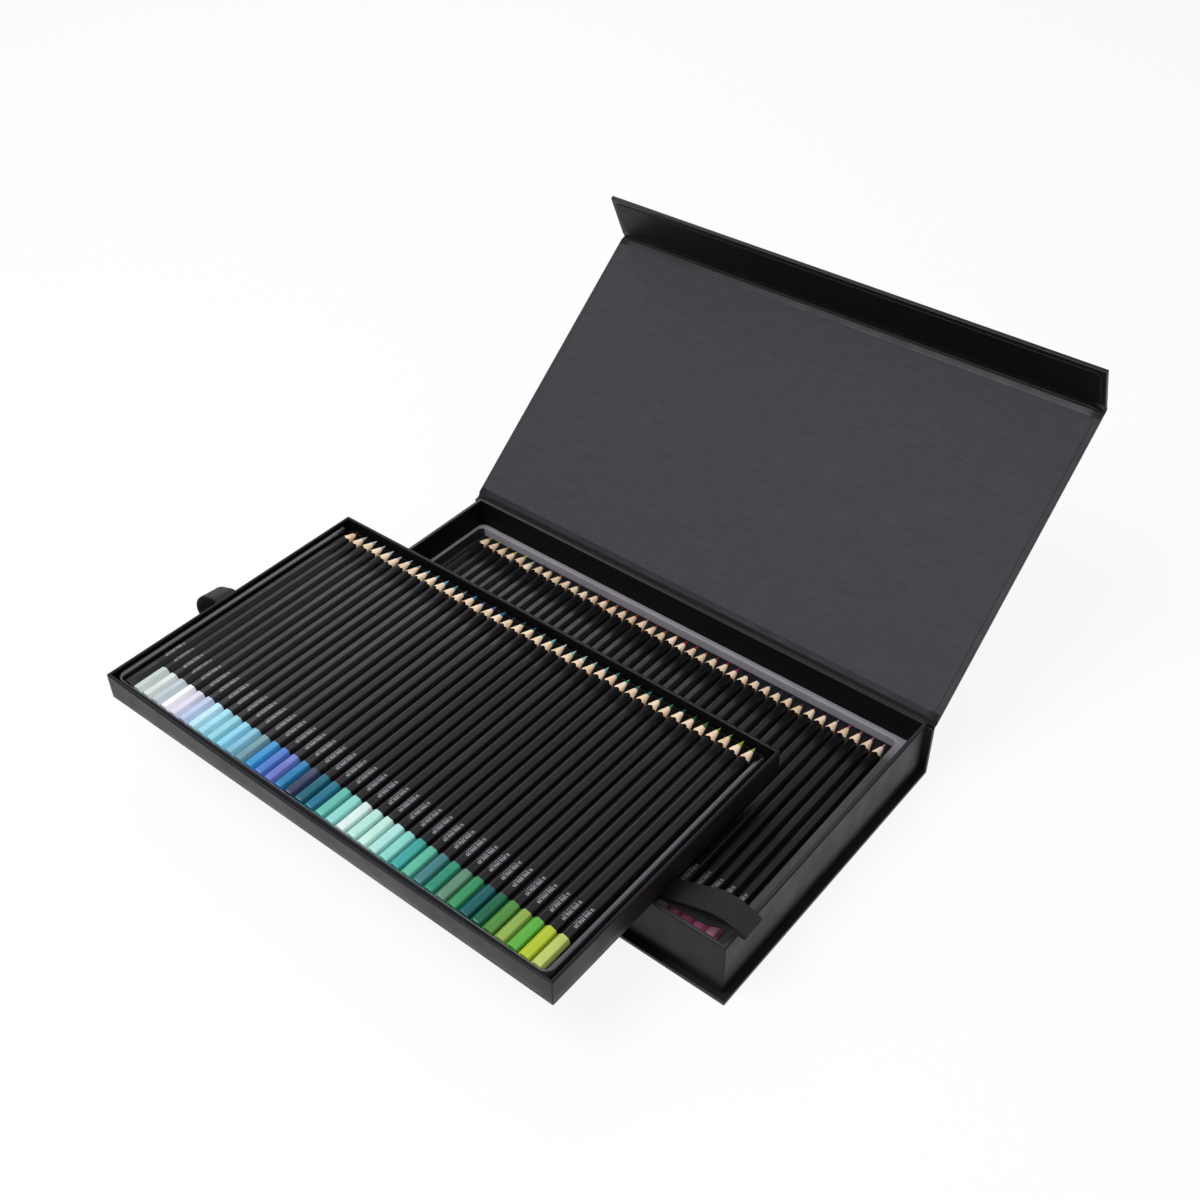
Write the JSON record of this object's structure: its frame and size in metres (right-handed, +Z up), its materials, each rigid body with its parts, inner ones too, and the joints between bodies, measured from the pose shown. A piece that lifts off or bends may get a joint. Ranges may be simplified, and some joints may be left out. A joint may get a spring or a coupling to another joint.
{
  "type": "pencil case box",
  "caption": "Black rigid-board case of coloured pencils, hinged lid and front flap folded open, with a lift-out pencil tray laid across the box.",
  "frame": {"origin": "middle of the box, left to right and front to back, on the underside of the base board", "axes": "+X to the right along the hinge, +Y towards the hinge at the back, +Z up"},
  "size_m": [0.4145, 0.4313, 0.198],
  "materials": {
    "cover_wrap": "greyboard wrapped in black matt paper",
    "box_wrap": "greyboard wrapped in black matt paper",
    "tray_wrap": "greyboard wrapped in black matt paper",
    "crease_paper": "folded black covering paper",
    "lining_paper": "charcoal lining paper, satin",
    "keeper_steel": "plain steel disc",
    "magnet_plating": "nickel plated disc",
    "lower_liner_plastic": "formed grey plastic sheet, soft gloss",
    "upper_liner_plastic": "formed dark grey plastic sheet, soft gloss",
    "ribbon_weave": "dark grey woven ribbon",
    "barrel_lacquer": "wood under glossy black lacquer",
    "bare_wood": "freshly cut pale cedar",
    "greys_lacquer": "wood under glossy coloured lacquer",
    "greys_lead": "wax coloured lead",
    "blues_lacquer": "wood under glossy coloured lacquer",
    "blues_lead": "wax coloured lead",
    "teals_lacquer": "wood under glossy coloured lacquer",
    "teals_lead": "wax coloured lead",
    "greens_lacquer": "wood under glossy coloured lacquer",
    "greens_lead": "wax coloured lead",
    "yellows_lacquer": "wood under glossy coloured lacquer",
    "yellows_lead": "wax coloured lead",
    "browns_lacquer": "wood under glossy coloured lacquer",
    "browns_lead": "wax coloured lead",
    "oranges_lacquer": "wood under glossy coloured lacquer",
    "oranges_lead": "wax coloured lead",
    "reds_lacquer": "wood under glossy coloured lacquer",
    "reds_lead": "wax coloured lead",
    "violets_lacquer": "wood under glossy coloured lacquer",
    "violets_lead": "wax coloured lead",
    "pinks_lacquer": "wood under glossy coloured lacquer",
    "pinks_lead": "wax coloured lead"
  },
  "bodies": {
    "case": {"cover_base_board": "cover_wrap", "cover_spine_board": "cover_wrap", "box_front_wall": "box_wrap", "box_rear_wall": "box_wrap", "box_left_wall": "box_wrap", "box_right_wall": "box_wrap", "front_wall_keepers": "keeper_steel", "lid_crease": "crease_paper", "lower_liner": "lower_liner_plastic"},
    "lid": {"lid_board": "cover_wrap", "lid_lining": "lining_paper", "flap_crease": "crease_paper"},
    "flap": {"flap_board": "cover_wrap", "flap_lining": "lining_paper", "flap_magnets": "magnet_plating"},
    "tray": {"tray_floor": "tray_wrap", "tray_front_wall": "tray_wrap", "tray_rear_wall": "tray_wrap", "tray_left_wall": "tray_wrap", "tray_right_wall": "tray_wrap", "upper_liner": "upper_liner_plastic", "left_ribbon": "ribbon_weave", "right_ribbon": "ribbon_weave"},
    "upper_pencils": {"upper_barrels": "barrel_lacquer", "upper_wood_tips": "bare_wood", "upper_dips_greys": "greys_lacquer", "upper_dips_blues": "blues_lacquer", "upper_dips_teals": "teals_lacquer", "upper_dips_greens": "greens_lacquer", "upper_leads_greys": "greys_lead", "upper_leads_blues": "blues_lead", "upper_leads_teals": "teals_lead", "upper_leads_greens": "greens_lead"},
    "lower_pencils": {"lower_barrels": "barrel_lacquer", "lower_wood_tips": "bare_wood", "lower_dips_yellows": "yellows_lacquer", "lower_dips_browns": "browns_lacquer", "lower_dips_oranges": "oranges_lacquer", "lower_dips_reds": "reds_lacquer", "lower_dips_violets": "violets_lacquer", "lower_dips_pinks": "pinks_lacquer", "lower_leads_yellows": "yellows_lead", "lower_leads_browns": "browns_lead", "lower_leads_oranges": "oranges_lead", "lower_leads_reds": "reds_lead", "lower_leads_violets": "violets_lead", "lower_leads_pinks": "pinks_lead"}
  },
  "joints": [
    {"name": "lid_hinge", "type": "hinge", "parent": "case", "child": "lid", "pos_m": [0, 0.0995, 0.0385], "axis": [-1, 0, 0], "range_deg": [-105.2, 40]},
    {"name": "flap_hinge", "type": "hinge", "parent": "lid", "child": "flap", "pos_m": [0, 0.25669, 0.16489], "axis": [1, 0, 0], "range_deg": [-74.2, 15.8]},
    {"name": "tray_lift", "type": "slide", "parent": "case", "child": "tray", "axis": [0, 0, 1], "range_m": [0, 0.03]},
    {"name": "upper_pencils_lift", "type": "slide", "parent": "tray", "child": "upper_pencils", "axis": [0, 0, 1], "range_m": [0, 0.01]},
    {"name": "lower_pencils_lift", "type": "slide", "parent": "case", "child": "lower_pencils", "axis": [0, 0, 1], "range_m": [0, 0.008]}
  ]
}
